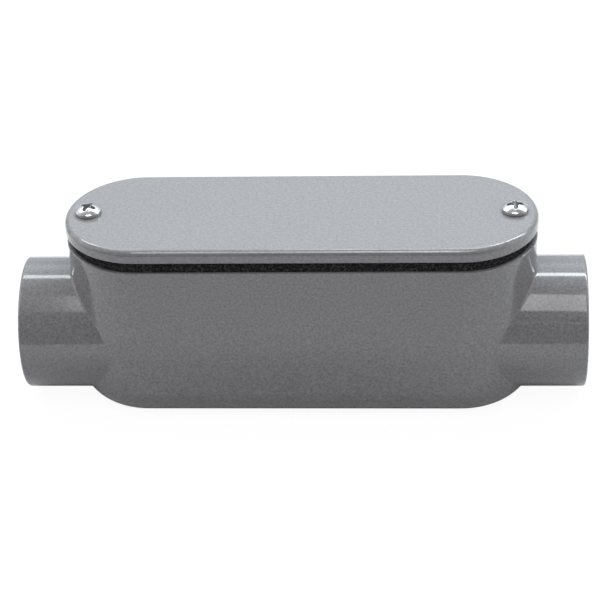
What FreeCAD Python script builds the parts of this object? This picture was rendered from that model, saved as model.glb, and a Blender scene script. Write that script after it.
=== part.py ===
"""Straight-through plastic conduit body for 1 inch rigid conduit.

A moulded housing with a hub at each end, a cover plate on a foam gasket, and two
pan head machine screws. Millimetres, +X along the hubs, +Z up to the cover.
The origin is on the base, under the middle of the housing.
"""
import FreeCAD
import Part
import math
import os

Vector = FreeCAD.Vector
UP = Vector(0, 0, 1)
ALONG = Vector(1, 0, 0)
SIDES = {"left": -1, "right": 1}

# Housing
HOUSING_LENGTH = 143.2      # over the round ends, without the hubs
HOUSING_WIDTH = 46.3
HOUSING_HEIGHT = 54.2       # base to the rim that carries the gasket
WALL = 3.2
FLOOR = 3.2
DRAFT_DEG = 0.4             # walls lean in towards the base, so that the mould releases
BASE_ROUND = 10.0           # round between the base and the walls
RIM_CHAMFER = 0.3           # broken outer edge of the rim

# Hubs and what the conduit meets inside them
CONDUIT_DIAMETER = 33.4
CONDUIT_CLEARANCE = 0.15    # radial gap that the cement fills
HUB_DIAMETER = 40.9
HUB_LENGTH = 15.2           # beyond the end of the housing
HUB_BASE_GAP = 1.9          # hub above the surface that the base stands on
HUB_END_ROUND = 0.8
HUB_ROOT_ROUND = 0.8        # fillet where a hub leaves the housing
SOCKET_CHAMFER = 1.0
THROAT_DIAMETER = 27.0      # the conduit's own bore, so no step catches a cable
STOP_THICKNESS = 4.5        # wall that the end of the conduit stops against
THROAT_ROUND = 3.0          # rounded lip that cables are pulled over

# Cover and gasket
COVER_THICKNESS = 4.2
COVER_OVERHANG = 0.2        # cover beyond the rim, all round
COVER_ROUND = 1.7
COVER_LOWER_CHAMFER = 0.3
GASKET_THICKNESS = 3.17
GASKET_END_INSET = 1.2      # gasket inside the rim at the round ends
GASKET_SIDE_INSET = 0.2     # gasket inside the rim along the sides
GASKET_LAP = 0.65           # gasket beyond the wall's inner face

# Screws, size 8-32
SCREW_END_INSET = 6.9       # screw axis from the end of the housing
SCREW_DIAMETER = 4.17
SCREW_LENGTH = 15.9         # under the head
SCREW_POINT = 0.6           # chamfer at the end of the shank
HEAD_DIAMETER = 8.0
HEAD_HEIGHT = 2.6
HEAD_SIDE = 0.95            # upright part of the head, below its crown
HEAD_FLAT_DIAMETER = 3.8
BOSS_DIAMETER = 9.6
THREAD_CLEARANCE = 0.05     # radial, screw in its boss
GASKET_HOLE_CLEARANCE = 0.1
COVER_HOLE_CLEARANCE = 0.3
HOLE_SPARE_DEPTH = 2.0      # hole below the end of the screw

# Worked out from the sizes above
half_length = HOUSING_LENGTH / 2
half_width = HOUSING_WIDTH / 2
rim_z = HOUSING_HEIGHT
gasket_top_z = rim_z + GASKET_THICKNESS
cover_top_z = gasket_top_z + COVER_THICKNESS
hub_radius = HUB_DIAMETER / 2
hub_z = HUB_BASE_GAP + hub_radius
hub_end_x = half_length + HUB_LENGTH
socket_radius = CONDUIT_DIAMETER / 2 + CONDUIT_CLEARANCE
throat_radius = THROAT_DIAMETER / 2
screw_radius = SCREW_DIAMETER / 2
screw_x = half_length - SCREW_END_INSET
screw_tip_z = cover_top_z - SCREW_LENGTH
boss_radius = BOSS_DIAMETER / 2
sleeve_x = screw_x - boss_radius            # inner end of the hub, under the boss
stop_x = sleeve_x + STOP_THICKNESS
lean = math.tan(math.radians(DRAFT_DEG))
PAST = 1.0                                  # how far a cutter runs past what it cuts


def obround(z_low, z_high, end_x, side_y, low_lean=0.0):
    """Upright solid with semicircular ends; end_x and side_y are its reach at z_high."""
    height = z_high - z_low
    high = side_y
    low = side_y - low_lean * height
    centre = end_x - side_y
    corners = [
        Vector(-centre, -low, z_low),
        Vector(-centre, low, z_low),
        Vector(-centre, high, z_high),
        Vector(-centre, -high, z_high),
    ]
    middle = Part.Face(Part.makePolygon(corners + corners[:1]))
    solid = middle.extrude(ALONG * (2 * centre))
    for side in SIDES.values():
        foot = Vector(side * centre, 0, z_low)
        if low_lean:
            end = Part.makeCone(low, high, height, foot, UP)
        else:
            end = Part.makeCylinder(high, height, foot, UP)
        solid = solid.fuse(end)
    return solid.removeSplitter()


def edges_at(solid, z):
    """The edges of a solid that lie wholly at one height."""
    return [
        edge for edge in solid.Edges
        if abs(edge.BoundBox.ZMin - z) < 1e-4 and abs(edge.BoundBox.ZMax - z) < 1e-4
    ]


def post(x, z_low, z_high, radius):
    """Round post or hole on a screw axis."""
    return Part.makeCylinder(radius, z_high - z_low, Vector(x, 0, z_low), UP)


def along_hubs(x_start, x_end, radius):
    """Cylinder on the axis of the hubs."""
    return Part.makeCylinder(radius, x_end - x_start, Vector(x_start, 0, hub_z), ALONG)


def socket_cutter(side):
    """What a hub is bored to: chamfer, conduit socket, stop and rounded throat."""
    lip_x = sleeve_x + THROAT_ROUND
    lip_radius = throat_radius + THROAT_ROUND
    arc_share = math.sqrt(0.5)
    lip_middle = (
        lip_x - THROAT_ROUND * arc_share,
        lip_radius - THROAT_ROUND * arc_share,
    )
    outer = hub_end_x + PAST
    mouth_radius = socket_radius + SOCKET_CHAMFER + PAST

    def point(x, radius):
        return Vector(side * x, 0, hub_z + radius)

    outline = [
        (outer, 0),
        (outer, mouth_radius),
        (hub_end_x - SOCKET_CHAMFER, socket_radius),
        (stop_x, socket_radius),
        (stop_x, throat_radius),
        (lip_x, throat_radius),
    ]
    past_x = sleeve_x - PAST
    ends = [(sleeve_x, lip_radius), (past_x, lip_radius), (past_x, 0), (outer, 0)]
    edges = [Part.makeLine(point(*a), point(*b)) for a, b in zip(outline, outline[1:])]
    edges.append(Part.Arc(point(*outline[-1]), point(*lip_middle), point(*ends[0])).toShape())
    edges += [Part.makeLine(point(*a), point(*b)) for a, b in zip(ends, ends[1:])]
    profile = Part.Face(Part.Wire(edges))
    return profile.revolve(Vector(0, 0, hub_z), ALONG, 360)


def make_housing():
    """One moulding: round-ended box, two hubs, and a boss for each screw."""
    outside = obround(0, rim_z, half_length, half_width, lean)
    outside = outside.makeFillet(BASE_ROUND, edges_at(outside, 0))
    hubs = along_hubs(-hub_end_x, hub_end_x, hub_radius)
    round_ends = [edge for edge in hubs.Edges if not is_seam(edge)]
    hubs = hubs.makeFillet(HUB_END_ROUND, round_ends)
    moulding = outside.fuse(hubs)
    roots = [
        edge for edge in moulding.Edges
        if touches_hub(edge) and not is_seam(edge) and abs(edge.CenterOfMass.x) < half_length
    ]
    moulding = moulding.makeFillet(HUB_ROOT_ROUND, roots)
    moulding = moulding.makeChamfer(RIM_CHAMFER, edges_at(moulding, rim_z))

    top = rim_z + PAST
    chamber = obround(
        FLOOR, top,
        half_length - WALL + lean * PAST,
        half_width - WALL + lean * PAST,
        lean,
    )
    chamber = chamber.makeFillet(BASE_ROUND - WALL, edges_at(chamber, FLOOR))
    for side in SIDES.values():
        inner, outer = sorted((side * sleeve_x, side * hub_end_x))
        chamber = chamber.cut(along_hubs(inner, outer, hub_radius))
        chamber = chamber.cut(post(side * screw_x, hub_z, rim_z, boss_radius))
    moulding = moulding.cut(chamber)
    for side in SIDES.values():
        moulding = moulding.cut(socket_cutter(side))
        hole_radius = screw_radius + THREAD_CLEARANCE
        hole_z = screw_tip_z - HOLE_SPARE_DEPTH
        moulding = moulding.cut(post(side * screw_x, hole_z, rim_z + PAST, hole_radius))
    return moulding.removeSplitter()


def touches_hub(edge):
    """Whether the whole edge lies on the outer face of the hubs."""
    spots = edge.discretize(7)
    return all(abs(math.hypot(p.y, p.z - hub_z) - hub_radius) < 1e-3 for p in spots)


def is_seam(edge):
    """Whether the edge is a straight seam along a hub."""
    return edge.BoundBox.YLength < 1e-6 and edge.BoundBox.ZLength < 1e-6


def make_gasket():
    """Foam ring on the rim, with an ear round each screw."""
    end_x = half_length - GASKET_END_INSET
    side_y = half_width - GASKET_SIDE_INSET
    gasket = obround(rim_z, gasket_top_z, end_x, side_y)
    opening = obround(
        rim_z - PAST, gasket_top_z + PAST,
        half_length - WALL - GASKET_LAP,
        half_width - WALL - GASKET_LAP,
    )
    for side in SIDES.values():
        opening = opening.cut(post(side * screw_x, rim_z - PAST, gasket_top_z + PAST, boss_radius))
    gasket = gasket.cut(opening)
    for side in SIDES.values():
        hole_radius = screw_radius + GASKET_HOLE_CLEARANCE
        gasket = gasket.cut(post(side * screw_x, rim_z - PAST, gasket_top_z + PAST, hole_radius))
    return gasket.removeSplitter()


def make_cover():
    """Flat plate with soft edges and two screw holes."""
    end_x = half_length + COVER_OVERHANG
    side_y = half_width + COVER_OVERHANG
    cover = obround(gasket_top_z, cover_top_z, end_x, side_y)
    cover = cover.makeFillet(COVER_ROUND, edges_at(cover, cover_top_z))
    cover = cover.makeChamfer(COVER_LOWER_CHAMFER, edges_at(cover, gasket_top_z))
    for side in SIDES.values():
        hole_radius = screw_radius + COVER_HOLE_CLEARANCE
        cover = cover.cut(post(side * screw_x, gasket_top_z - PAST, cover_top_z + PAST, hole_radius))
    return cover


def make_screw(side):
    """Pan head machine screw, turned from one profile; its thread is left plain."""
    head_radius = HEAD_DIAMETER / 2
    flat_radius = HEAD_FLAT_DIAMETER / 2
    arc_share = math.sqrt(0.5)

    def point(radius, height):
        return Vector(side * screw_x + radius, 0, cover_top_z + height)

    crown_start = point(head_radius, HEAD_SIDE)
    crown_end = point(flat_radius, HEAD_HEIGHT)
    crown_middle = point(
        flat_radius + (head_radius - flat_radius) * arc_share,
        HEAD_SIDE + (HEAD_HEIGHT - HEAD_SIDE) * arc_share,
    )
    outline = [
        crown_end,
        point(0, HEAD_HEIGHT),
        point(0, -SCREW_LENGTH),
        point(screw_radius - SCREW_POINT, -SCREW_LENGTH),
        point(screw_radius, SCREW_POINT - SCREW_LENGTH),
        point(screw_radius, 0),
        point(head_radius, 0),
        crown_start,
    ]
    edges = [Part.makeLine(a, b) for a, b in zip(outline, outline[1:])]
    edges.append(Part.Arc(crown_start, crown_middle, crown_end).toShape())
    profile = Part.Face(Part.Wire(edges))
    return profile.revolve(point(0, 0), UP, 360)


nodes = {
    "housing": make_housing(),
    "gasket": make_gasket(),
    "cover": make_cover(),
}
for name, side in SIDES.items():
    nodes["screw_" + name] = make_screw(side)

os.makedirs("parts", exist_ok=True)
for name, shape in nodes.items():
    shape.exportStep("parts/" + name + ".step")
    box = shape.BoundBox
    print(name, "solids", len(shape.Solids), "valid", shape.isValid(),
          "volume", round(shape.Volume, 1),
          "box", [round(v, 2) for v in (box.XMin, box.XMax, box.YMin, box.YMax, box.ZMin, box.ZMax)])
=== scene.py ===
# %% [markdown]
# # A plastic conduit body
# This lesson dresses a conduit body for 1 inch conduit. The real one is a grey moulded
# housing with a hub at each end, a cover plate on a black foam gasket, and two pan head
# screws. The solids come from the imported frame, in metres, and stay where they are. They
# could be modelled again in Blender, but two models of one object soon differ. So Blender
# adds only what the solids leave out: threads, screw recesses, foam and the finishes.

# %% Load the frame
import math
from collections import namedtuple

import bmesh
import bpy
from mathutils import Matrix, Vector


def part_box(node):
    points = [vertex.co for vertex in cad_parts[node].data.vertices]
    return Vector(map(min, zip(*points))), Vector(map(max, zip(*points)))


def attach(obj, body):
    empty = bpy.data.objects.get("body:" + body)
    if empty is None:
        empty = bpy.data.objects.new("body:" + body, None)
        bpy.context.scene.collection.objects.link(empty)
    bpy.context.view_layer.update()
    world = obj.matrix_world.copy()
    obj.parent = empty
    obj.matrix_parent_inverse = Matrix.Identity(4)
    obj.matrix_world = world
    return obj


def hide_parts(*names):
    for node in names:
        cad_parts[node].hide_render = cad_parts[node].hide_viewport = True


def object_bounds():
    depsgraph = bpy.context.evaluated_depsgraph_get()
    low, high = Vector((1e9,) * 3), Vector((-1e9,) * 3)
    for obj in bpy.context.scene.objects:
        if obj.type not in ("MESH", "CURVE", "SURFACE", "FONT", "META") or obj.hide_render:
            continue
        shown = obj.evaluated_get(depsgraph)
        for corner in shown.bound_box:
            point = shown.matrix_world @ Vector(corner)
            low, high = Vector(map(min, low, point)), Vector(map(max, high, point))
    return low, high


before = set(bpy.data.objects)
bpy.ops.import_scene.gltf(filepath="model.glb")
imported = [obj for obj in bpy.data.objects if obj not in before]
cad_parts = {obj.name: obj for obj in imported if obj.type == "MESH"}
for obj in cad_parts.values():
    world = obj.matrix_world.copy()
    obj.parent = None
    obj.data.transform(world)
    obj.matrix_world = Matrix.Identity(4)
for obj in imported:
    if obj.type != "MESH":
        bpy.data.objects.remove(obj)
MM = 0.001
scene = bpy.context.scene


def corners():
    """The whole object's lowest and highest corners, as plain lists."""
    return [[float(v) for v in corner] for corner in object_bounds()]


cad_box = corners()
print("nodes:", sorted(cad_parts), "box:", cad_box)

# %% [markdown]
# ## Camera
# A fitting like this is best seen a little from above and from some way off, because a long
# lens keeps its hubs round and its sides parallel. A camera can be turned by hand in the
# viewport, or given a whole matrix. Here it is set by the point that it looks at, its
# distance and three angles, so that each number can be understood and changed by itself.

# %% Camera
CAMERA_TARGET = Vector((-1.3, 0, 29.9)) * MM
CAMERA_DISTANCE = 0.6479    # metres
CAMERA_TURN = -0.0779       # radians to one side
CAMERA_TILT = 0.5665        # radians down
CAMERA_ROLL = -0.0447       # radians about the line of sight
CAMERA_LENS = 125.1         # mm, on a 36 mm sensor
CAMERA_NEAR = 10 * MM       # nothing nearer than this is drawn


def add_camera():
    """The camera, looking along the direction that the three angles give."""
    flat = Vector((math.sin(CAMERA_TURN), math.cos(CAMERA_TURN), 0))
    forward = flat * math.cos(CAMERA_TILT) - Vector((0, 0, math.sin(CAMERA_TILT)))
    right = Vector((math.cos(CAMERA_TURN), -math.sin(CAMERA_TURN), 0))
    above = right.cross(forward)
    across = right * math.cos(CAMERA_ROLL) + above * math.sin(CAMERA_ROLL)
    above = above * math.cos(CAMERA_ROLL) - right * math.sin(CAMERA_ROLL)
    turn = Matrix((across, above, -forward)).transposed().to_4x4()
    data = bpy.data.cameras.new("camera")
    data.lens = CAMERA_LENS
    data.clip_start = CAMERA_NEAR
    camera = bpy.data.objects.new("camera", data)
    camera.matrix_world = Matrix.Translation(CAMERA_TARGET - forward * CAMERA_DISTANCE) @ turn
    scene.collection.objects.link(camera)
    scene.camera = camera
    return camera


camera = add_camera()
print("camera at", [round(v, 4) for v in camera.location])

# %% [markdown]
# ## Lamps behind and in front
# Semi-gloss plastic mirrors its lamps as bands, so they are as much a part of its look as
# its colour is. Small lamps would leave spots. Long strips in line, above and behind, draw
# the bright edge along each hub instead. A soft window's panes stand high in front: one shows
# up on the right hub, the others along the cover's front edge. A thin pane lower down adds a
# faint line to the right hub. A lamp is given by its radiance and not by its power, so that
# its reflection keeps its brightness when its size is changed.

# %% Lamps
COOL = (0.89, 0.955, 1.0)
PLAIN = (1.0, 0.975, 0.985)
LAMPS = {       # ends along X, then elevation from the back, distance, depth, radiance, tint
    "far left strip": (-0.72, -0.42, 64, 0.9, 0.115, 24.0, COOL),
    "left strip": (-0.42, -0.20, 64, 0.9, 0.115, 10.0, COOL),
    "right strip": (-0.08, 0.16, 63, 0.9, 0.115, 13.5, COOL),
    "far right strip": (0.16, 0.70, 63, 0.9, 0.115, 24.0, COOL),
    "end strip": (0.70, 1.40, 63, 0.9, 0.115, 14.0, COOL),
    "dim pane": (-0.25, -0.03, 117.5, 1.09, 0.56, 5.5, PLAIN),
    "middle pane": (-0.03, 0.03, 117.5, 1.09, 0.56, 8.5, PLAIN),
    "bright pane": (0.03, 0.07, 117.5, 1.09, 0.56, 13.5, PLAIN),
    "soft pane": (0.07, 0.137, 117.5, 1.09, 0.56, 4.3, PLAIN),
    "narrow pane": (0.15, 0.30, 117.5, 1.09, 0.56, 5.0, PLAIN),
    "thin pane": (0.06, 0.26, 152, 1.09, 0.035, 1.2, PLAIN),
}


def add_area_lamp(name, width, depth, radiance, tint):
    """A rectangular lamp whose power follows from its size and radiance."""
    data = bpy.data.lights.new(name, "AREA")
    data.shape = "RECTANGLE"
    data.size = width
    data.size_y = depth
    data.energy = radiance * math.pi * width * depth
    data.color = tint
    lamp = bpy.data.objects.new(name, data)
    scene.collection.objects.link(lamp)
    return lamp


def add_lamp(name, x_low, x_high, elevation, distance, depth, radiance, tint):
    """A lamp behind or in front of the object, with its width along X."""
    angle = math.radians(elevation)
    lamp = add_area_lamp(name, x_high - x_low, depth, radiance, tint)
    middle = (x_low + x_high) / 2
    lamp.location = (middle, distance * math.cos(angle), distance * math.sin(angle))
    lamp.rotation_euler = (angle - math.pi / 2, 0, 0)


for name, values in LAMPS.items():
    add_lamp(name, *values)
print("lamps behind and in front:", len(LAMPS))

# %% [markdown]
# ## Lamps at the ends
# The chamber's round ends turn away from the strips and the window, and would go dark. A
# brighter room would lift them, but it would wash out the bands on the hubs as well. One
# wide, dim lamp beyond each end lights those walls almost alone, and stays soft when the
# object is seen from the side.

# %% End lamps
END_LAMPS = {   # side, elevation, distance, width, depth, radiance, tint
    "left end lamp": (-1, 16, 0.95, 0.9, 0.5, 1.1, PLAIN),
    "right end lamp": (1, 16, 0.95, 0.9, 0.5, 0.95, PLAIN),
}


def add_end_lamp(name, side, elevation, distance, width, depth, radiance, tint):
    """A low lamp that faces one end of the object along X."""
    angle = math.radians(elevation)
    lamp = add_area_lamp(name, depth, width, radiance, tint)
    lamp.location = (side * distance * math.cos(angle), 0, distance * math.sin(angle))
    lamp.rotation_euler = (0, side * (math.pi / 2 - angle), 0)


for name, values in END_LAMPS.items():
    add_end_lamp(name, *values)
print("lamps at the ends:", len(END_LAMPS))

# %% [markdown]
# ## Helpers for node trees
# Materials, the world and geometry trees are all graphs of nodes. They can be wired by hand
# in the node editor, but a script gives the same tree each time. These two functions put one
# node on one line and name its inputs, so that a tree reads like a recipe.

# %% Node helpers
def place(tree, kind, options=None, **inputs):
    """Adds a node, sets its options, and sets or links its inputs by name or number."""
    node = tree.nodes.new(kind)
    for key, value in (options or {}).items():
        setattr(node, key, value)
    for key, value in inputs.items():
        numbered = key[1:].isdigit()
        socket = node.inputs[int(key[1:])] if numbered else node.inputs[key.replace("_", " ")]
        if isinstance(value, bpy.types.NodeSocket):
            tree.links.new(value, socket)
        else:
            socket.default_value = value
    return node


def math_node(tree, operation, *values):
    """A Math node's output."""
    named = {f"i{n}": value for n, value in enumerate(values)}
    return place(tree, "ShaderNodeMath", {"operation": operation}, **named).outputs[0]


print("helpers:", place.__name__, math_node.__name__)

# %% [markdown]
# ## Floor
# The object stands on a sheet of pale paper, which throws light up at its walls. The sheet
# ends a little in front of it, so that less of that light reaches the front. A white floor
# can be had by adding lamps, but they would light the object too. Here the floor's material
# asks which ray is looking. To the camera it glows almost white and keeps a little of the
# object's shadow. To every other ray it is plain paper.

# %% Floor
FLOOR_FRONT = -0.18
FLOOR_BACK = 1.6
FLOOR_SIDE = 1.3
FLOOR_GAP = 0.05 * MM       # keeps the sheet from touching the underside
PAPER = 0.68                # what the sheet gives back of the light on it
SHADOW_PAPER = 0.06         # a little paper for the camera, which shadows can darken
GLOW = 0.95                 # the sheet's own light, seen by the camera alone


def add_object(name, mesh):
    """A mesh object at the origin, linked into the scene."""
    piece = bpy.data.objects.new(name, mesh)
    scene.collection.objects.link(piece)
    return piece


def floor_material():
    """Pale to the object, and white with a faint shadow to the camera."""
    material = bpy.data.materials.new("studio floor")
    material.use_nodes = True
    tree = material.node_tree
    tree.nodes.clear()
    path = place(tree, "ShaderNodeLightPath")
    paper = place(tree, "ShaderNodeBsdfDiffuse", Color=(PAPER, PAPER, PAPER, 1))
    shadowed = place(tree, "ShaderNodeBsdfDiffuse",
                     Color=(SHADOW_PAPER, SHADOW_PAPER, SHADOW_PAPER, 1))
    glow = place(tree, "ShaderNodeEmission", Color=(1, 1, 1, 1), Strength=GLOW)
    seen = place(tree, "ShaderNodeAddShader", i0=shadowed.outputs[0], i1=glow.outputs[0])
    both = place(tree, "ShaderNodeMixShader", i0=path.outputs["Is Camera Ray"],
                 i1=paper.outputs[0], i2=seen.outputs[0])
    place(tree, "ShaderNodeOutputMaterial", Surface=both.outputs[0])
    return material


def add_floor():
    """A flat sheet that the object stands on."""
    ends = [(-FLOOR_SIDE, FLOOR_FRONT), (FLOOR_SIDE, FLOOR_FRONT),
            (FLOOR_SIDE, FLOOR_BACK), (-FLOOR_SIDE, FLOOR_BACK)]
    height = cad_box[0][2] - FLOOR_GAP
    mesh = bpy.data.meshes.new("floor")
    mesh.from_pydata([(x, y, height) for x, y in ends], [], [(0, 1, 2, 3)])
    mesh.materials.append(floor_material())
    floor = add_object("floor", mesh)
    return floor


floor = add_floor()
print("floor:", [round(v, 2) for v in floor.dimensions])

# %% [markdown]
# ## Room
# Between the lamps, a gloss surface mirrors the room. An image of a real room is the usual
# way, but a few numbers are easier to change and need no file. The room has four sides, each
# with a tint and with its own brightness by height. It is bright behind and at the sides, and
# dark in front, which gives the hubs their dark bands. The camera sees plain white instead.

# %% Sides of the room
ROOM = {        # axis, sign and tint, then radiance by degrees above the horizon
    "behind": ("Y", 1.0, COOL, ((0, 0.9), (21, 1.0), (36, 2.5), (50, 2.2), (75, 1.0))),
    "right": ("X", 1.0, PLAIN, ((0, 0.6), (35, 0.6), (70, 0.3))),
    "front": ("Y", -1.0, PLAIN, ((0, 0.04), (35, 0.06), (75, 0.3))),
    "left": ("X", -1.0, PLAIN, ((0, 0.3), (30, 1.1), (70, 0.5))),
}
ROOM_UNDER = 0.1            # radiance below the horizon


def by_height(tree, rise, steps):
    """A value that goes in straight lines from each height's value to the next."""
    total = steps[0][1]
    for (low, before), (high, after) in zip(steps, steps[1:]):
        part = place(tree, "ShaderNodeMapRange", Value=rise, From_Min=math.radians(low),
                     From_Max=math.radians(high), To_Min=0.0, To_Max=after - before)
        total = math_node(tree, "ADD", part.outputs[0], total)
    return total


def facing(tree, value, sign):
    """How much a direction points one way along an axis, squared; 0 if the other way."""
    way = math_node(tree, "MAXIMUM", math_node(tree, "MULTIPLY", value, sign), 0.0)
    return math_node(tree, "MULTIPLY", way, way)


print("sides of the room:", ", ".join(ROOM))

# %% [markdown]
# ## World
# Blender's world lights each ray that meets nothing. Its shader can be one colour or an
# image. This one adds up a background for each side of the room, weighted by how far the ray
# points that way, so that the sides blend into each other. Below the horizon it is dim.

# %% World
def set_world():
    """White to the camera; to everything else a room with bright and dark sides."""
    world = bpy.data.worlds.new("studio")
    world.use_nodes = True
    scene.world = world
    tree = world.node_tree
    tree.nodes.clear()
    path = place(tree, "ShaderNodeLightPath")
    where = place(tree, "ShaderNodeTexCoord")
    parts = place(tree, "ShaderNodeSeparateXYZ", Vector=where.outputs["Generated"])
    rise = math_node(tree, "ARCSINE", parts.outputs["Z"])
    flatness = math_node(tree, "COSINE", rise)
    level = math_node(tree, "MULTIPLY", flatness, flatness)
    above = math_node(tree, "GREATER_THAN", parts.outputs["Z"], 0.0)
    below = math_node(tree, "SUBTRACT", 1.0, above)
    room = place(tree, "ShaderNodeBackground",
                 Strength=math_node(tree, "MULTIPLY", below, ROOM_UNDER))
    for axis, sign, tint, steps in ROOM.values():
        way = math_node(tree, "DIVIDE", facing(tree, parts.outputs[axis], sign), level)
        share = math_node(tree, "MULTIPLY", way, above)
        strength = math_node(tree, "MULTIPLY", share, by_height(tree, rise, steps))
        side = place(tree, "ShaderNodeBackground", Color=(*tint, 1), Strength=strength)
        room = place(tree, "ShaderNodeAddShader", i0=room.outputs[0], i1=side.outputs[0])
    white = place(tree, "ShaderNodeBackground", Color=(1, 1, 1, 1), Strength=1.0)
    both = place(tree, "ShaderNodeMixShader", i0=path.outputs["Is Camera Ray"],
                 i1=room.outputs[0], i2=white.outputs[0])
    place(tree, "ShaderNodeOutputWorld", Surface=both.outputs[0])


set_world()
scene.view_settings.view_transform = "Standard"
print("world:", scene.world.name)

# %% [markdown]
# ## Helpers for node groups
# An effect that several materials share is best built once. A function could add the same
# nodes to each material, but a node group does it in Blender itself: its sockets have names,
# and each material gives them values of its own. A geometry tree is a group too, so one helper
# makes both kinds. The other helper scales a colour or a direction.

# %% Group helpers
def new_group(name, kind, inputs, outputs):
    """A node group with named sockets: its tree, its input node and its output node."""
    tree = bpy.data.node_groups.new(name, kind)
    for socket_name, socket_type, default in inputs:
        socket = tree.interface.new_socket(socket_name, in_out="INPUT", socket_type=socket_type)
        if default is not None:
            socket.default_value = default
    for socket_name, socket_type in outputs:
        tree.interface.new_socket(socket_name, in_out="OUTPUT", socket_type=socket_type)
    return tree, tree.nodes.new("NodeGroupInput"), tree.nodes.new("NodeGroupOutput")


def scaled(tree, vector, factor):
    """A colour or vector times one value, which may vary over the surface."""
    node = place(tree, "ShaderNodeVectorMath", {"operation": "SCALE"}, i0=vector, Scale=factor)
    return node.outputs[0]


print("helpers:", new_group.__name__, scaled.__name__)

# %% [markdown]
# ## Moulded mottle
# Rigid PVC comes out of the mould semi-gloss. Close up it is never one flat grey: filler and
# flow marks give a fine mottle, and the mould's own polish leaves a faint ripple that breaks
# up reflections. A painted image could show this, but each piece would need its own map.
# Noise in Object coordinates needs none, and moves with the piece. Both mouldings have the
# mottle, so it is one node group, and each material gives it values of its own.

# %% Mottle group
CLOUD_SCALE = 0.04          # the clouds' scale, as a share of the grain's
CLOUD_ROUGHNESS = 0.08      # what the lightest clouds add to the roughness


def mottle_group():
    """Colour, roughness and height of moulded plastic, from Object coordinates."""
    tree, given, result = new_group(
        "moulded mottle", "ShaderNodeTree",
        [("Vector", "NodeSocketVector", None), ("Colour", "NodeSocketColor", (0.5, 0.5, 0.5, 1)),
         ("Grain size", "NodeSocketFloat", 0.5 * MM), ("Grain contrast", "NodeSocketFloat", 0.05),
         ("Cloud contrast", "NodeSocketFloat", 0.03), ("Roughness", "NodeSocketFloat", 0.2)],
        [("Colour", "NodeSocketColor"), ("Roughness", "NodeSocketFloat"),
         ("Height", "NodeSocketFloat")],
    )
    per_metre = math_node(tree, "DIVIDE", 1.0, given.outputs["Grain size"])
    grain = place(tree, "ShaderNodeTexNoise", Vector=given.outputs["Vector"], Scale=per_metre,
                  Detail=3.0, Roughness=0.65)
    coarse = math_node(tree, "MULTIPLY", per_metre, CLOUD_SCALE)
    cloud = place(tree, "ShaderNodeTexNoise", Vector=given.outputs["Vector"], Scale=coarse,
                  Detail=2.0, Roughness=0.5)
    shade = 1.0
    for texture, strength in ((grain, "Grain contrast"), (cloud, "Cloud contrast")):
        swing = math_node(tree, "MULTIPLY_ADD", texture.outputs[0], 2.0, -1.0)
        shade = math_node(tree, "MULTIPLY_ADD", swing, given.outputs[strength], shade)
    rough = math_node(tree, "MULTIPLY_ADD", cloud.outputs[0], CLOUD_ROUGHNESS,
                      given.outputs["Roughness"])
    tree.links.new(scaled(tree, given.outputs["Colour"], shade), result.inputs["Colour"])
    tree.links.new(rough, result.inputs["Roughness"])
    tree.links.new(grain.outputs[0], result.inputs["Height"])
    return tree


mottle = mottle_group()
print("group:", mottle.name, "with", len(mottle.nodes), "nodes")

# %% [markdown]
# ## Plastic of the two mouldings
# The cover comes from another mould than the housing. Its grey is a little lighter, and its
# flat top a little less smooth. Two plain materials would do from far off, but the light
# would then lie on them in flat sheets. Each material places the mottle group with its own
# values, and keeps the plain gloss of PVC on the shader's own sockets.

# %% Plastic materials
PLASTIC_IOR = 1.5
PLASTICS = {    # grey, grain size, grain contrast, cloud contrast, roughness, ripple height
    "housing": ((0.152, 0.151, 0.155), 0.7 * MM, 0.70, 0.03, 0.06, 0.0022 * MM),
    "cover": ((0.172, 0.171, 0.175), 0.8 * MM, 0.50, 0.02, 0.10, 0.003 * MM),
}


def plastic_material(name, grey, grain_size, grain, cloud, roughness, ripple):
    """Moulded PVC with its own values for the mottle."""
    material = bpy.data.materials.new(name)
    material.use_nodes = True
    tree = material.node_tree
    shader = tree.nodes["Principled BSDF"]
    shader.inputs["IOR"].default_value = PLASTIC_IOR
    where = place(tree, "ShaderNodeTexCoord")
    group = place(tree, "ShaderNodeGroup", {"node_tree": mottle},
                  Vector=where.outputs["Object"], Colour=(*grey, 1), Grain_size=grain_size,
                  Grain_contrast=grain, Cloud_contrast=cloud, Roughness=roughness)
    bump = place(tree, "ShaderNodeBump", Height=group.outputs["Height"], Strength=1.0,
                 Distance=ripple)
    tree.links.new(group.outputs["Colour"], shader.inputs["Base Color"])
    tree.links.new(group.outputs["Roughness"], shader.inputs["Roughness"])
    tree.links.new(bump.outputs[0], shader.inputs["Normal"])
    return material


finishes = {node: plastic_material(node + " plastic", *values) for node, values in PLASTICS.items()}
print("materials:", [material.name for material in finishes.values()])

# %% [markdown]
# ## Painted rim shade
# Along its straight sides, the top band of the housing's wall is duller, and its colour is
# painted darker: painted shade for the shade that the gasket and the cover's overhang cast
# there. The band could be cut out as faces with a material of their own, but the housing
# keeps the frame's mesh. So a node group finds it by height and length, and puts out its
# share, from 0 to 1.

# %% Rim group
RIM_BAND = 0.4 * MM
RIM_LENGTH = 58 * MM        # half the length of the shaded part
RIM_RAMP = 0.3              # the share of the band in which the effect sets in
RIM_END = 1.12              # where it has died out, in half lengths


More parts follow.
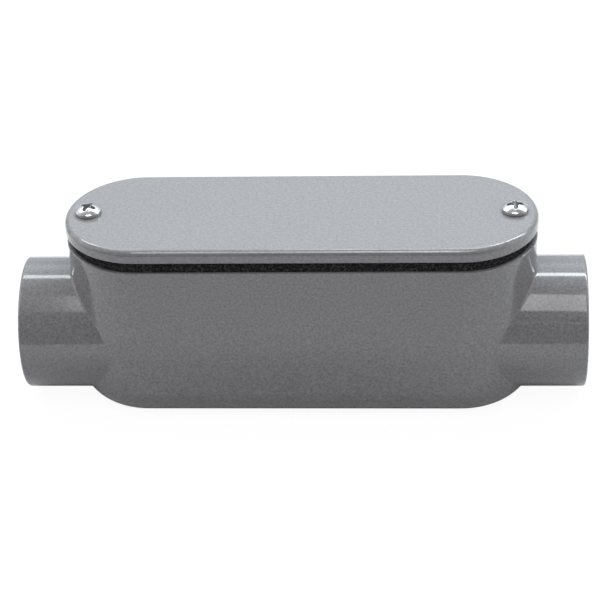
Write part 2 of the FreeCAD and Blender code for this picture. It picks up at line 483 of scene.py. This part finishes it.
def rim_shade_group():
    """The share of painted shade: 1 on the housing's rim along the sides, 0 elsewhere."""
    tree, given, result = new_group(
        "painted rim shade", "ShaderNodeTree",
        [("Vector", "NodeSocketVector", None), ("Rim height", "NodeSocketFloat", 54 * MM),
         ("Band", "NodeSocketFloat", RIM_BAND), ("Half length", "NodeSocketFloat", RIM_LENGTH)],
        [("Share", "NodeSocketFloat")],
    )
    spot = place(tree, "ShaderNodeSeparateXYZ", Vector=given.outputs["Vector"])
    start = math_node(tree, "SUBTRACT", given.outputs["Rim height"], given.outputs["Band"])
    full = math_node(tree, "MULTIPLY_ADD", given.outputs["Band"], RIM_RAMP, start)
    high = place(tree, "ShaderNodeMapRange", Value=spot.outputs["Z"], From_Min=start,
                 From_Max=full)
    along = math_node(tree, "ABSOLUTE", spot.outputs["X"])
    gone = math_node(tree, "MULTIPLY", given.outputs["Half length"], RIM_END)
    near = place(tree, "ShaderNodeMapRange", Value=along, From_Min=given.outputs["Half length"],
                 From_Max=gone, To_Min=1.0, To_Max=0.0)
    share = math_node(tree, "MULTIPLY", high.outputs[0], near.outputs[0])
    tree.links.new(share, result.inputs["Share"])
    return tree


rim = rim_shade_group()
print("group:", rim.name, "with", len(rim.nodes), "nodes")

# %% [markdown]
# ## Painted shade on the housing's rim
# The cover has no such rim, so the group goes into the housing's material alone. A second
# material with its own mask would do, but here the mottle has to run on through the rim. So
# the links into the shader's roughness and colour are picked up, changed by the group's share
# and led back in. The roughness rises, and the colour is darkened as painted shade.

# %% Paint shade on the housing's rim
RIM_ROUGHNESS = 0.6
# painted shade: the rim band's colour falls by this share, under the gasket and cover
RIM_PAINTED_SHADE = 0.62


def paint_rim_shade(material, rim_height):
    """Makes a plastic duller, and darker with painted shade, along its rim under the gasket."""
    tree = material.node_tree
    shader = tree.nodes["Principled BSDF"]
    plain_rough, plain_grey = (shader.inputs[socket].links[0].from_socket
                               for socket in ("Roughness", "Base Color"))
    where = place(tree, "ShaderNodeTexCoord")
    group = place(tree, "ShaderNodeGroup", {"node_tree": rim}, Vector=where.outputs["Object"],
                  Rim_height=rim_height, Band=RIM_BAND, Half_length=RIM_LENGTH)
    share = group.outputs["Share"]
    rough = place(tree, "ShaderNodeMix", Factor=share, i2=plain_rough, i3=RIM_ROUGHNESS)
    # painted shade: the colour darkens by the group's share
    shade = math_node(tree, "MULTIPLY_ADD", share, -RIM_PAINTED_SHADE, 1.0)
    tree.links.new(rough.outputs[0], shader.inputs["Roughness"])
    tree.links.new(scaled(tree, plain_grey, shade), shader.inputs["Base Color"])


paint_rim_shade(finishes["housing"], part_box("housing")[1].z)

# %% [markdown]
# ## Finish the mouldings
# The housing and the cover already have the right shape as solids, down to the sockets inside
# the hubs. They could be rebuilt with finer meshes, but nothing would look better. Their
# nodes stay as they are, and each gets its plastic.

# %% Housing and cover
def finish_node(node, material):
    """Gives a CAD node its material."""
    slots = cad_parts[node].material_slots
    for slot in slots:
        slot.material = material
    print(node, "finished with", material.name, "in", len(slots), "slot")


for node, material in finishes.items():
    finish_node(node, material)

# %% [markdown]
# ## Foam surface
# The gasket is cut from a sheet of black foam, so its sides show opened cells: small dark
# pits and torn skins. A plain ring would look like rubber, and bump alone would leave its
# outline straight. So a Geometry Nodes tree moves the points of a fine mesh inwards by a cell
# pattern. The faces that the cover and the rim press on stay flat.

# %% Foam tree
FOAM_CELL = 0.9 * MM
FOAM_DEPTH = 0.28 * MM
FOAM_TEARS = 2.3            # how many times finer than the cells the torn skins are
FOAM_PUSH = 1.4             # brings the deepest pits to about the full depth


def foam_tree():
    """Sinks upright faces by a cell pattern; flat faces stay where they are."""
    tree, given, result = new_group(
        "open foam cells", "GeometryNodeTree",
        [("Geometry", "NodeSocketGeometry", None), ("Cell size", "NodeSocketFloat", FOAM_CELL),
         ("Depth", "NodeSocketFloat", FOAM_DEPTH), ("Material", "NodeSocketMaterial", None)],
        [("Geometry", "NodeSocketGeometry")],
    )
    per_metre = math_node(tree, "DIVIDE", 1.0, given.outputs["Cell size"])
    cells = place(tree, "ShaderNodeTexVoronoi", Scale=per_metre, Randomness=1.0)
    finer = math_node(tree, "MULTIPLY", per_metre, FOAM_TEARS)
    torn = place(tree, "ShaderNodeTexNoise", Scale=finer, Detail=2.0)
    inner = math_node(tree, "SUBTRACT", 1.0, cells.outputs["Distance"])
    pit = math_node(tree, "MULTIPLY", inner, torn.outputs[0])
    normal = place(tree, "GeometryNodeInputNormal")
    parts = place(tree, "ShaderNodeSeparateXYZ", Vector=normal.outputs[0])
    upright = math_node(tree, "SUBTRACT", 1.0, math_node(tree, "ABSOLUTE", parts.outputs["Z"]))
    share = math_node(tree, "MULTIPLY", pit, upright)
    sink = math_node(tree, "MULTIPLY", share, given.outputs["Depth"])
    step = scaled(tree, normal.outputs[0], math_node(tree, "MULTIPLY", sink, -FOAM_PUSH))
    moved = place(tree, "GeometryNodeSetPosition", Geometry=given.outputs["Geometry"], Offset=step)
    real = place(tree, "GeometryNodeRealizeInstances", i0=moved.outputs[0])
    dressed = place(tree, "GeometryNodeSetMaterial", Geometry=real.outputs[0],
                    Material=given.outputs["Material"])
    tree.links.new(dressed.outputs[0], result.inputs["Geometry"])
    return tree


foam = foam_tree()
print("tree:", foam.name, "with", len(foam.nodes), "nodes")

# %% [markdown]
# ## Foam colour
# Cut foam is black without gloss, and lighter where the light catches a cell's wall. One
# black would hide the cells that the tree has made. Two patterns, pores and torn skins, are
# multiplied into one height, which sets both the colour and the finest relief. The colour is
# painted light on the cell walls and painted shade in the pits.

# %% Foam material
# painted shade in the pits, and painted light on the cell walls:
FOAM_PIT_PAINTED_SHADE = (0.19, (0.001, 0.001, 0.001, 1))     # height, and the colour up to it
FOAM_WALL_PAINTED_LIGHT = (0.44, (0.036, 0.036, 0.037, 1))    # height, and the colour from it on
FOAM_ROUGHNESS = 0.75
FOAM_ROUGHENING = 0.2       # what the torn skins add at most


def foam_material():
    """Black foam with no gloss: painted light on cell walls round painted shade in deep pits."""
    material = bpy.data.materials.new("gasket foam")
    material.use_nodes = True
    tree = material.node_tree
    shader = tree.nodes["Principled BSDF"]
    shader.inputs["Specular IOR Level"].default_value = 0.15
    where = place(tree, "ShaderNodeTexCoord")
    pores = place(tree, "ShaderNodeTexVoronoi", Vector=where.outputs["Object"], Scale=1500.0)
    skins = place(tree, "ShaderNodeTexNoise", Vector=where.outputs["Object"], Scale=2600.0,
                  Detail=3.0, Roughness=0.7)
    height = math_node(tree, "MULTIPLY", pores.outputs["Distance"], skins.outputs[0])
    colour = place(tree, "ShaderNodeValToRGB", Fac=height)
    for element, (position, black) in zip(colour.color_ramp.elements, (FOAM_PIT_PAINTED_SHADE, FOAM_WALL_PAINTED_LIGHT)):
        element.position = position
        element.color = black
    rough = math_node(tree, "MULTIPLY_ADD", skins.outputs[0], FOAM_ROUGHENING, FOAM_ROUGHNESS)
    bump = place(tree, "ShaderNodeBump", Height=height, Strength=0.8, Distance=0.2 * MM)
    tree.links.new(colour.outputs[0], shader.inputs["Base Color"])
    tree.links.new(rough, shader.inputs["Roughness"])
    tree.links.new(bump.outputs[0], shader.inputs["Normal"])
    return material


black_foam = foam_material()
print("material:", black_foam.name)

# %% [markdown]
# ## From modifiers to plain meshes
# Every finished piece here is a plain mesh whose object sits at the origin, unturned. Its
# modifiers could be left live, but a plain mesh has the same shape wherever it goes. So a
# modifier works only while a piece is made: the evaluated object is turned into a new mesh,
# and the modifier goes. A tree's inputs are set on its modifier by the sockets' identifiers,
# which the second helper looks up by name.

# %% Modifier helpers
def apply_modifiers(piece):
    """Turns what the modifiers make into the piece's own plain mesh."""
    bpy.context.view_layer.update()
    seen = piece.evaluated_get(bpy.context.evaluated_depsgraph_get())
    made = bpy.data.meshes.new_from_object(seen)
    piece.modifiers.clear()
    piece.data = made
    return piece


def modifier_inputs(modifier, values):
    """Sets a geometry tree's inputs on its modifier, by the names of the sockets."""
    for item in modifier.node_group.interface.items_tree:
        if item.item_type == "SOCKET" and item.in_out == "INPUT" and item.name in values:
            modifier[item.identifier] = values[item.name]


print("helpers:", apply_modifiers.__name__, modifier_inputs.__name__)

# %% [markdown]
# ## Gasket
# The real gasket is a thin ring that follows the rim, with an ear round each screw. It could
# be drawn as a curve with a profile, but the frame already has its exact outline. That ring's
# faces are too large to carry the cells, so a copy is merged, made of small even faces by a
# Remesh modifier, and then given to the foam tree. It is one body with the cover.

# %% Make the gasket
FOAM_VOXEL = 0.32 * MM
MERGE_DISTANCE = 0.001 * MM


def make_gasket():
    """The foam ring, from a merged copy of the frame's own ring."""
    ring = bmesh.new()
    ring.from_mesh(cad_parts["gasket"].data)
    bmesh.ops.remove_doubles(ring, verts=ring.verts, dist=MERGE_DISTANCE)
    mesh = bpy.data.meshes.new("foam gasket")
    ring.to_mesh(mesh)
    ring.free()
    mesh.materials.clear()
    piece = add_object("foam_gasket", mesh)
    remesh = piece.modifiers.new("even faces", "REMESH")
    remesh.mode = "VOXEL"
    remesh.voxel_size = FOAM_VOXEL
    apply_modifiers(piece)
    cells = piece.modifiers.new("cells", "NODES")
    cells.node_group = foam
    modifier_inputs(cells, {"Cell size": FOAM_CELL, "Depth": FOAM_DEPTH, "Material": black_foam})
    apply_modifiers(piece)
    piece.data.shade_smooth()
    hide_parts("gasket")
    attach(piece, "cover")
    return piece


gasket = make_gasket()
print("gasket faces:", len(gasket.data.polygons))

# %% [markdown]
# ## Screw thread
# A machine screw's thread is a V that climbs one pitch a turn. It can be spun from a profile
# with the Screw modifier, but its ends then have to be closed by hand. It follows a rule, so a
# few nodes can say here what the rod's radius is at any height and angle. The thread fades
# in, and the lower end narrows, as a rolled thread's does.

# %% Thread radius
THREAD_PITCH = 25.4 / 32 * MM
THREAD_ROOT_SHARE = 0.76    # root radius as a share of the outer radius
THREAD_ROOT = 0.12          # the wave's level up to which the groove is at the root
THREAD_CREST = 0.9          # the wave's level from which the ridge is at its full height
THREAD_START = (0.4, 1.6)   # the thread rises between these turns from the lower end
THREAD_POINT = (0.5, 0.8)   # turns that the end narrows over, and the share it narrows to


def thread_radius(tree, given, turn, climbed):
    """The rod's radius where it has climbed some turns, at a share of a turn round it."""
    phase = math_node(tree, "FRACT", math_node(tree, "SUBTRACT", climbed, turn))
    wave = math_node(tree, "PINGPONG", math_node(tree, "MULTIPLY", phase, 2.0), 1.0)
    ridge = place(tree, "ShaderNodeMapRange", Value=wave, From_Min=THREAD_ROOT,
                  From_Max=THREAD_CREST)
    start = place(tree, "ShaderNodeMapRange", Value=climbed, From_Min=THREAD_START[0],
                  From_Max=THREAD_START[1])
    height = math_node(tree, "MULTIPLY", ridge.outputs[0], start.outputs[0])
    depth = math_node(tree, "SUBTRACT", given.outputs["Outer radius"], given.outputs["Root radius"])
    radius = math_node(tree, "MULTIPLY_ADD", height, depth, given.outputs["Root radius"])
    point = place(tree, "ShaderNodeMapRange", Value=climbed, From_Min=0.0,
                  From_Max=THREAD_POINT[0], To_Min=THREAD_POINT[1], To_Max=1.0)
    return math_node(tree, "MULTIPLY", radius, point.outputs[0])


print("thread pitch:", round(THREAD_PITCH / MM, 3), "mm")

# %% [markdown]
# ## Rod from a grid
# A radius is not yet a mesh. A cylinder could be bent to it, but a flat grid is simpler: one
# side becomes the way round and the other the way up, and each point is moved to its place on
# the rod. The first and last rows shrink to a point, which closes the rod, and the seam is
# merged. The place and the sizes are named inputs, so both screws use one tree.

# %% Thread tree
POINTS_ROUND = 48


def thread_tree():
    """A closed threaded rod between two heights, on an upright axis at Centre X."""
    tree, given, result = new_group(
        "thread", "GeometryNodeTree",
        [("Geometry", "NodeSocketGeometry", None), ("Centre X", "NodeSocketFloat", 0.0),
         ("Low end", "NodeSocketFloat", 0.0), ("High end", "NodeSocketFloat", 16 * MM),
         ("Outer radius", "NodeSocketFloat", 2 * MM), ("Root radius", "NodeSocketFloat", 1.6 * MM),
         ("Pitch", "NodeSocketFloat", THREAD_PITCH), ("Start angle", "NodeSocketFloat", 0.0),
         ("Points round", "NodeSocketInt", POINTS_ROUND), ("Rows", "NodeSocketInt", 200),
         ("Material", "NodeSocketMaterial", None)],
        [("Geometry", "NodeSocketGeometry")],
    )
    flat = place(tree, "GeometryNodeMeshGrid", Size_X=1.0, Size_Y=1.0,
                 Vertices_X=given.outputs["Points round"], Vertices_Y=given.outputs["Rows"])
    where = place(tree, "GeometryNodeInputPosition")
    spot = place(tree, "ShaderNodeSeparateXYZ", Vector=where.outputs[0])
    turn = math_node(tree, "ADD", spot.outputs["X"], 0.5)
    share = math_node(tree, "ADD", spot.outputs["Y"], 0.5)
    length = math_node(tree, "SUBTRACT", given.outputs["High end"], given.outputs["Low end"])
    rise = math_node(tree, "MULTIPLY", share, length)
    climbed = math_node(tree, "DIVIDE", rise, given.outputs["Pitch"])
    to_end = math_node(tree, "SUBTRACT", 0.5, math_node(tree, "ABSOLUTE", spot.outputs["Y"]))
    inside = math_node(tree, "GREATER_THAN", to_end, 1e-5)
    radius = math_node(tree, "MULTIPLY", thread_radius(tree, given, turn, climbed), inside)
    angle = math_node(tree, "MULTIPLY_ADD", turn, 2 * math.pi, given.outputs["Start angle"])
    x = math_node(tree, "MULTIPLY_ADD", math_node(tree, "COSINE", angle), radius,
                  given.outputs["Centre X"])
    y = math_node(tree, "MULTIPLY", math_node(tree, "SINE", angle), radius)
    z = math_node(tree, "ADD", rise, given.outputs["Low end"])
    target = place(tree, "ShaderNodeCombineXYZ", X=x, Y=y, Z=z)
    rolled = place(tree, "GeometryNodeSetPosition", Geometry=flat.outputs["Mesh"],
                   Position=target.outputs[0])
    closed = place(tree, "GeometryNodeMergeByDistance", Geometry=rolled.outputs[0],
                   Distance=MERGE_DISTANCE)
    real = place(tree, "GeometryNodeRealizeInstances", i0=closed.outputs[0])
    dressed = place(tree, "GeometryNodeSetMaterial", Geometry=real.outputs[0],
                    Material=given.outputs["Material"])
    tree.links.new(dressed.outputs[0], result.inputs["Geometry"])
    return tree


thread = thread_tree()
print("tree:", thread.name, "with", len(thread.nodes), "nodes")

# %% [markdown]
# ## Meshes from rings
# A turned head and a tapered punch are alike in one way: both are rings of points, each joined
# to the next. The Spin tool could make the one and hand-placed faces the other. One helper
# serves both. It also merges the points that fall together on the axis, and turns all faces
# outwards.

# %% Ring helper
def rings_mesh(name, rings, capped=False):
    """A mesh through rings of points, with doubles merged and normals facing out."""
    work = bmesh.new()
    rows = [[work.verts.new(point) for point in ring] for ring in rings]
    for low, high in zip(rows, rows[1:]):
        for n in range(len(low)):
            m = (n + 1) % len(low)
            work.faces.new((low[n], low[m], high[m], high[n]))
    if capped:
        work.faces.new(rows[0])
        work.faces.new(rows[-1])
    bmesh.ops.remove_doubles(work, verts=work.verts, dist=0.0001 * MM)
    bmesh.ops.recalc_face_normals(work, faces=work.faces)
    mesh = bpy.data.meshes.new(name)
    work.to_mesh(mesh)
    work.free()
    return mesh


print("helper:", rings_mesh.__name__)

# %% [markdown]
# ## Screw head
# The real pan head is pressed and has a short upright side under a crown that is part of a
# sphere. Underneath it is relieved, so that it seats on its middle and a dark line shows below
# its edge. A scaled sphere would lose that side and that line. The head is round, so it is
# made by turning a profile. The frame's boxes say where each screw stands and how large its
# head is, so the heads follow if the solids are changed.

# %% Head profile
HEAD_SIDE = 1.2 * MM
HEAD_RELIEF = ((0.4, 0.0), (0.06, 0.14), (0.0, 0.22))   # mm in from the edge, mm up from the seat
HEAD_POINTS = 96
CROWN_STEPS = 18
ScrewPlace = namedtuple("ScrewPlace", "centre_x tip seat top radius")


def screw_place(side):
    """Where a screw stands and how large its head is, from the frame's boxes."""
    low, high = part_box("screw_" + side)
    return ScrewPlace(centre_x=(low.x + high.x) / 2, tip=low.z, seat=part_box("cover")[1].z,
                      top=high.z, radius=(high.x - low.x) / 2)


def dome_radius(screw):
    """The radius of the sphere that the screw's crown is part of."""
    rise = screw.top - screw.seat - HEAD_SIDE
    return (screw.radius ** 2 + rise ** 2) / (2 * rise)


def head_mesh(screw):
    """Domed pan head as a closed turned form, relieved underneath so that its middle seats."""
    profile = [(0, screw.seat)]
    for inset, rise in HEAD_RELIEF:
        profile.append((screw.radius - inset * MM, screw.seat + rise * MM))
    dome = dome_radius(screw)
    for step in range(CROWN_STEPS + 1):
        angle = math.asin(screw.radius / dome) * (1 - step / CROWN_STEPS)
        profile.append((dome * math.sin(angle), screw.top - dome * (1 - math.cos(angle))))
    angles = [2 * math.pi * n / HEAD_POINTS for n in range(HEAD_POINTS)]
    rings = []
    for reach, height in profile:
        rings.append([(screw.centre_x + reach * math.cos(angle), reach * math.sin(angle), height)
                      for angle in angles])
    return rings_mesh("head", rings)


screws = {side: screw_place(side) for side in ("left", "right")}
print("crown radius in mm:", [round(dome_radius(screw) / MM, 2) for screw in screws.values()])

# %% [markdown]
# ## Cross recess
# A tapered punch presses the cross into the head, and leaves sloping walls between four arms
# with round ends. It could be a picture of a cross, but a screwdriver's recess has to look
# deep from every side. So the punch is modelled too, from cross outlines that shrink with
# depth, and a Boolean modifier takes it out of the head. The two screws were driven home at
# different angles, so each cross has its own turn.

# %% Punch
RECESS_REACH = 2.95 * MM    # half the width across the cross, at the crown's height
RECESS_DEPTH = 1.7 * MM
ARM_SHOULDER = 0.5          # how far before its end an arm starts to narrow, in half widths
ARM_TIP = 0.45              # the arm's half width at its end, as a share
BIT_LEVELS = (  # depth and reach as shares, arm's half width in mm, sloping corner in mm
    (-0.2, 1.06, 0.78, 1.30),
    (0.0, 1.0, 0.74, 1.22),
    (0.45, 0.86, 0.60, 0.94),
    (0.8, 0.55, 0.45, 0.65),
    (1.0, 0.28, 0.28, 0.36),
)
SCREW_TURNS = {"left": -25, "right": 4}      # degrees that each cross is turned by


def cross_outline(reach, half_width, waist):
    """A cross's outline: four arms with round ends, joined by sloping corners."""
    shoulder = reach - half_width * ARM_SHOULDER
    tip = half_width * ARM_TIP
    arm = ((waist, -half_width), (shoulder, -half_width), (reach, -tip),
           (reach, tip), (shoulder, half_width), (waist, half_width))
    outline = []
    for quarter in range(4):
        turn = Matrix.Rotation(math.radians(90 * quarter), 2)
        outline += [turn @ Vector(corner) for corner in arm]
    return outline


def bit_mesh(screw, degrees):
    """The punch: cross outlines that shrink with depth, closed at both ends."""
    spin = Matrix.Rotation(math.radians(degrees), 2)
    rings = []
    for depth, reach_share, half_width, waist in BIT_LEVELS:
        outline = cross_outline(reach_share * RECESS_REACH, half_width * MM, waist * MM)
        height = screw.top - depth * RECESS_DEPTH
        spots = [spin @ corner for corner in outline]
        rings.append([(screw.centre_x + spot.x, spot.y, height) for spot in spots])
    return rings_mesh("bit", rings, capped=True)


print("punch:", len(BIT_LEVELS), "outlines of", len(cross_outline(1, 0.2, 0.3)), "points")

# %% [markdown]
# ## Painted shade in the recess
# Plating runs thin inside a punched cross, so the steel is duller there than on the crown, and
# its colour is painted darker as painted shade in the hollow. The recess could be given faces
# with a material of their own, but the Boolean makes them anew each time. A node group finds
# them instead: a point is inside if it lies below the crown's sphere, near the screw's axis and
# above the cross's floor.

# %% Recess group
RECESS_START = 0.04 * MM    # how far below the sphere the shade begins
RECESS_FADE = 0.12 * MM     # and over what depth it sets in
RECESS_FLOOR = 1.05         # where it ends, in recess depths


def recess_group():
    """The share of painted shade inside the punched cross: 1 well below the dome, 0 on it."""
    tree, given, result = new_group(
        "painted recess shade", "ShaderNodeTree",
        [("Vector", "NodeSocketVector", None), ("Dome radius", "NodeSocketFloat", 5.7 * MM),
         ("Reach", "NodeSocketFloat", RECESS_REACH), ("Fade", "NodeSocketFloat", RECESS_FADE)],
        [("Share", "NodeSocketFloat")],
    )
    spot = place(tree, "ShaderNodeSeparateXYZ", Vector=given.outputs["Vector"])
    flat = place(tree, "ShaderNodeCombineXYZ", X=spot.outputs["X"], Y=spot.outputs["Y"])
    across = place(tree, "ShaderNodeVectorMath", {"operation": "LENGTH"}, i0=flat.outputs[0])
    lifted = place(tree, "ShaderNodeCombineXYZ", Z=given.outputs["Dome radius"])
    centred = place(tree, "ShaderNodeVectorMath", {"operation": "ADD"},
                    i0=given.outputs["Vector"], i1=lifted.outputs[0])
    out = place(tree, "ShaderNodeVectorMath", {"operation": "LENGTH"}, i0=centred.outputs[0])
    below = math_node(tree, "SUBTRACT", given.outputs["Dome radius"], out.outputs["Value"])
    past_start = math_node(tree, "SUBTRACT", below, RECESS_START)
    deep = math_node(tree, "DIVIDE", past_start, given.outputs["Fade"])
    near = math_node(tree, "LESS_THAN", across.outputs["Value"], given.outputs["Reach"])
    above = math_node(tree, "GREATER_THAN", spot.outputs["Z"], -RECESS_DEPTH * RECESS_FLOOR)
    inside = math_node(tree, "MULTIPLY", near, above)
    share = place(tree, "ShaderNodeClamp", Value=math_node(tree, "MULTIPLY", deep, inside))
    tree.links.new(share.outputs[0], result.inputs["Share"])
    return tree


recess = recess_group()
print("group:", recess.name, "with", len(recess.nodes), "nodes")

# %% [markdown]
# ## Screw steel
# The screws are zinc-plated steel. The plating is bright but not a mirror: the tools that
# form the head leave fine rings round its axis, and handling leaves scuffs. A plain metal would
# look like chrome. The rings are a wave in a bump, and the scuffs vary the colour and the
# roughness. A Mapping node puts the pattern's centre on the top of each screw.

# %% Screw material
STEEL_DARK = (0.46, 0.465, 0.47, 1)
STEEL_LIGHT = (0.58, 0.585, 0.59, 1)
STEEL_ROUGHNESS = 0.14
STEEL_SCUFFING = 0.14       # what the scuffs add at most
# painted shade: the steel's colour inside the recess falls to this share
RECESS_PAINTED_SHADE = 0.34         # what the steel's colour falls to inside the recess
RECESS_ROUGHENING = 0.35


def steel_material(side):
    """Zinc-plated steel: fine rings round the axis, small scuffs, a dull recess with painted shade.
    """
    screw = screws[side]
    material = bpy.data.materials.new("screw steel " + side)
    material.use_nodes = True
    tree = material.node_tree
    shader = tree.nodes["Principled BSDF"]
    shader.inputs["Metallic"].default_value = 1.0
    where = place(tree, "ShaderNodeTexCoord")
    spot = place(tree, "ShaderNodeMapping", Vector=where.outputs["Object"],
                 Location=(-screw.centre_x, 0, -screw.top))
    rings = place(tree, "ShaderNodeTexWave", {"wave_type": "RINGS", "rings_direction": "Z"},
                  Vector=spot.outputs[0], Scale=900.0, Distortion=1.5, Detail=2.0)
    scuffs = place(tree, "ShaderNodeTexNoise", Vector=spot.outputs[0], Scale=1800.0, Detail=3.0)
    colour = place(tree, "ShaderNodeMix", {"data_type": "RGBA"}, Factor=scuffs.outputs[0],
                   i6=STEEL_DARK, i7=STEEL_LIGHT)
    group = place(tree, "ShaderNodeGroup", {"node_tree": recess}, Vector=spot.outputs[0],
                  Dome_radius=dome_radius(screw), Reach=RECESS_REACH, Fade=RECESS_FADE)
    share = group.outputs["Share"]
    # painted shade: the steel's colour darkens inside the recess
    shade = math_node(tree, "MULTIPLY_ADD", share, RECESS_PAINTED_SHADE - 1, 1.0)
    rough = math_node(tree, "MULTIPLY_ADD", scuffs.outputs[0], STEEL_SCUFFING, STEEL_ROUGHNESS)
    rough = math_node(tree, "MULTIPLY_ADD", share, RECESS_ROUGHENING, rough)
    bump = place(tree, "ShaderNodeBump", Height=rings.outputs[1], Strength=0.35,
                 Distance=0.004 * MM)
    tree.links.new(scaled(tree, colour.outputs[2], shade), shader.inputs["Base Color"])
    tree.links.new(rough, shader.inputs["Roughness"])
    tree.links.new(bump.outputs[0], shader.inputs["Normal"])
    return material


steels = {side: steel_material(side) for side in screws}
print("materials:", [steel.name for steel in steels.values()])

# %% [markdown]
# ## Punched heads
# The punch leaves the cross with edges that are slightly rounded, and these catch a bright
# line. The cut could be left sharp, as a Boolean modifier makes it, but a sharp edge catches
# no light. So a narrow bevel follows the Boolean.

# %% Punch the heads
RECESS_EDGE = 0.06 * MM
EDGE_ANGLE = math.radians(35)       # edges sharper than this are bevelled and shaded crisp


def combine(piece, other, operation):
    """Cuts another mesh out of a piece, or joins it on, and drops the other."""
    boolean = piece.modifiers.new("boolean", "BOOLEAN")
    boolean.operation = operation
    boolean.solver = "EXACT"
    boolean.object = other
    apply_modifiers(piece)
    bpy.data.objects.remove(other)


def punched_head(side):
    """A head in place, with its cross punched and the punched edges eased."""
    screw = screws[side]
    piece = add_object("machine_screw_" + side, head_mesh(screw))
    bit = add_object("bit", bit_mesh(screw, SCREW_TURNS[side]))
    combine(piece, bit, "DIFFERENCE")
    bevel = piece.modifiers.new("edges", "BEVEL")
    bevel.width = RECESS_EDGE
    bevel.segments = 2
    bevel.angle_limit = EDGE_ANGLE
    apply_modifiers(piece)
    return piece


heads = {side: punched_head(side) for side in screws}
print("head faces:", [len(head.data.polygons) for head in heads.values()])

# %% [markdown]
# ## Threaded rods
# Below its head, a size 8 screw of this kind is threaded along its whole length. A plain rod
# would do while the cover is down, but the thread shows as soon as the cover is lifted. Each
# rod is an empty object with the thread tree on it, and runs a little way up into its head.

# %% Make the rods
SCREW_OUTER = 2.085 * MM    # outer radius of a size 8 thread
ROD_OVERLAP = 0.3 * MM      # how far the rod runs up into the head
ROWS_PER_PITCH = 10


def threaded_rod(side):
    """The rod under a head, whose thread starts at the cross's own angle."""
    screw = screws[side]
    rod = add_object("rod", bpy.data.meshes.new("rod"))
    cut = rod.modifiers.new("thread", "NODES")
    cut.node_group = thread
    modifier_inputs(cut, {
        "Centre X": screw.centre_x, "Low end": screw.tip, "High end": screw.seat + ROD_OVERLAP,
        "Outer radius": SCREW_OUTER, "Root radius": SCREW_OUTER * THREAD_ROOT_SHARE,
        "Start angle": math.radians(SCREW_TURNS[side]),
        "Points round": POINTS_ROUND + 1,
        "Rows": int((screw.seat - screw.tip) / THREAD_PITCH * ROWS_PER_PITCH),
        "Material": steels[side],
    })
    return apply_modifiers(rod)


rods = {side: threaded_rod(side) for side in screws}
print("rod faces:", [len(rod.data.polygons) for rod in rods.values()])

# %% [markdown]
# ## Whole screws
# Each real screw is one piece of steel. Head and rod could be left to overlap, but then faces
# would be hidden inside, so a second Boolean joins them into one closed mesh. Each screw then
# takes its solid's place and moves with that solid's body.

# %% Join the screws
def join_screw(side):
    """A whole screw: its head and its rod in one mesh, on its own body."""
    piece = heads[side]
    combine(piece, rods[side], "UNION")
    piece.data.materials.clear()
    piece.data.materials.append(steels[side])
    piece.data.shade_smooth()
    piece.data.set_sharp_from_angle(angle=EDGE_ANGLE)
    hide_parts("screw_" + side)
    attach(piece, "screw_" + side)
    return piece


for side in screws:
    screw = join_screw(side)
    print(screw.name, "faces:", len(screw.data.polygons))
